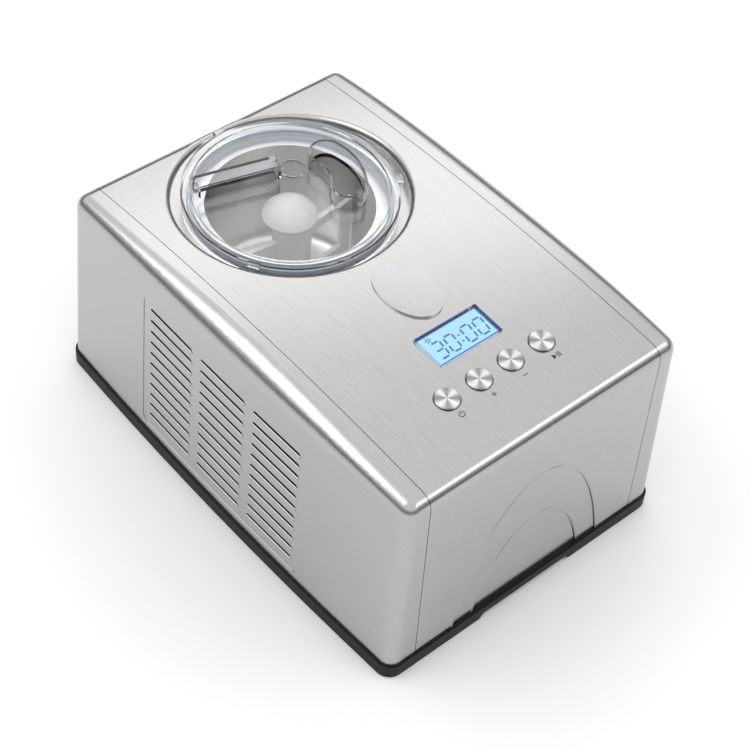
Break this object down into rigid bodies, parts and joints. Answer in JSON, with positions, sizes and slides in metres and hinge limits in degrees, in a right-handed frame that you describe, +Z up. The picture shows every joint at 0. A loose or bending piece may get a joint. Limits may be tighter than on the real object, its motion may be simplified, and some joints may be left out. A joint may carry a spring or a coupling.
{
  "type": "ice cream maker",
  "caption": "Compressor ice cream maker in brushed steel with a lift-out bowl, clear chute lid, stirring paddle and a push-button control deck.",
  "frame": {"origin": "on the floor under the middle of the base", "axes": "+Z up, front with the control deck towards -Y, bowl towards +Y"},
  "size_m": [0.2804, 0.3948, 0.197],
  "materials": {
    "housing_steel": "fine brushed satin",
    "cold_steel": "satin",
    "screw_steel": "bright zinc",
    "badge_metal": "polished",
    "black_plastic": "satin moulded",
    "foot_rubber": "matt",
    "button_metal": "spun",
    "clear_window": "clear polished",
    "display": "backlit",
    "board": "solder mask",
    "switch_plastic": "moulded",
    "clear_lid": "clear moulded",
    "collar_plastic": "moulded",
    "bowl_aluminium": "anodised satin",
    "paddle_plastic": "moulded",
    "foam": "foamed",
    "tank_aluminium": "drawn",
    "copper": "drawn copper",
    "compressor_paint": "black enamel",
    "fin_aluminium": "rolled",
    "motor_steel": "zinc plated",
    "gear_nylon": "moulded",
    "gearbox_plastic": "glass filled",
    "shaft_steel": "ground",
    "bush_bronze": "sintered"
  },
  "bodies": {
    "housing": {"base_tray": "black_plastic", "rubber_feet": "foot_rubber", "top_front_panel": "housing_steel", "back_panel": "housing_steel", "left_cover": "housing_steel", "right_cover": "housing_steel", "badge_plate": "badge_metal", "cable_gland": "black_plastic", "back_screws": "screw_steel", "display_window": "clear_window", "display_module": "display", "control_board": "board", "button_carrier": "black_plastic", "tact_switches": "switch_plastic", "board_screws": "screw_steel", "collar_ring": "collar_plastic", "cooling_tank": "tank_aluminium", "evaporator_coil": "copper", "foam_jacket": "foam", "compressor": "compressor_paint", "compressor_grommets": "foot_rubber", "compressor_bolts": "screw_steel", "condenser": "fin_aluminium", "fan_shroud": "black_plastic", "fan_motor": "motor_steel", "filter_drier": "copper", "discharge_pipe": "copper", "liquid_pipe": "copper", "capillary_pipe": "copper", "suction_pipe": "copper", "gearbox_housing": "gearbox_plastic", "gearbox_cover": "gearbox_plastic", "gearbox_screws": "screw_steel", "idler_pin": "shaft_steel", "drive_motor": "motor_steel", "shaft_bush": "bush_bronze", "shaft_seal": "foot_rubber"},
    "bowl": {"bowl": "bowl_aluminium"},
    "lid": {"lid": "clear_lid"},
    "paddle": {"paddle": "paddle_plastic"},
    "drive": {"drive_shaft": "shaft_steel", "output_gear": "gear_nylon"},
    "idler": {"idler_gear": "gear_nylon"},
    "pinion": {"motor_pinion": "gear_nylon"},
    "fan": {"fan_rotor": "switch_plastic"},
    "power_button": {"power_button": "button_metal"},
    "time_up_button": {"time_up_button": "button_metal"},
    "time_down_button": {"time_down_button": "button_metal"},
    "start_stop_button": {"start_stop_button": "button_metal"}
  },
  "joints": [
    {"name": "bowl_lift", "type": "slide", "parent": "housing", "child": "bowl", "axis": [0, 0, 1], "range_m": [0, 0.16]},
    {"name": "lid_lift", "type": "slide", "parent": "bowl", "child": "lid", "axis": [0, 0, 1], "range_m": [0, 0.12]},
    {"name": "paddle_spin", "type": "hinge", "parent": "bowl", "child": "paddle", "pos_m": [0, 0.0915, 0.12], "axis": [0, 0, 1], "continuous": true},
    {"name": "drive_spin", "type": "hinge", "parent": "housing", "child": "drive", "pos_m": [0, 0.0915, 0.05], "axis": [0, 0, 1], "continuous": true},
    {"name": "idler_spin", "type": "hinge", "parent": "housing", "child": "idler", "pos_m": [0, 0.0335, 0.05], "axis": [0, 0, 1], "continuous": true},
    {"name": "pinion_spin", "type": "hinge", "parent": "housing", "child": "pinion", "pos_m": [0, -0.0085, 0.04], "axis": [0, 0, 1], "continuous": true},
    {"name": "fan_spin", "type": "hinge", "parent": "housing", "child": "fan", "pos_m": [0.077, -0.105, 0.06], "axis": [1, 0, 0], "continuous": true},
    {"name": "power_press", "type": "slide", "parent": "housing", "child": "power_button", "axis": [0, 0.0458, -0.9989], "range_m": [0, 0.0012], "stiffness_N_per_m": 400},
    {"name": "time_up_press", "type": "slide", "parent": "housing", "child": "time_up_button", "axis": [0, 0.0458, -0.9989], "range_m": [0, 0.0012], "stiffness_N_per_m": 400},
    {"name": "time_down_press", "type": "slide", "parent": "housing", "child": "time_down_button", "axis": [0, 0.0458, -0.9989], "range_m": [0, 0.0012], "stiffness_N_per_m": 400},
    {"name": "start_stop_press", "type": "slide", "parent": "housing", "child": "start_stop_button", "axis": [0, 0.0458, -0.9989], "range_m": [0, 0.0012], "stiffness_N_per_m": 400}
  ],
  "couplings": [
    {"joint": "paddle_spin", "follows": "drive_spin", "ratio": 1},
    {"joint": "idler_spin", "follows": "drive_spin", "ratio": -4.8},
    {"joint": "pinion_spin", "follows": "drive_spin", "ratio": 15.36}
  ]
}
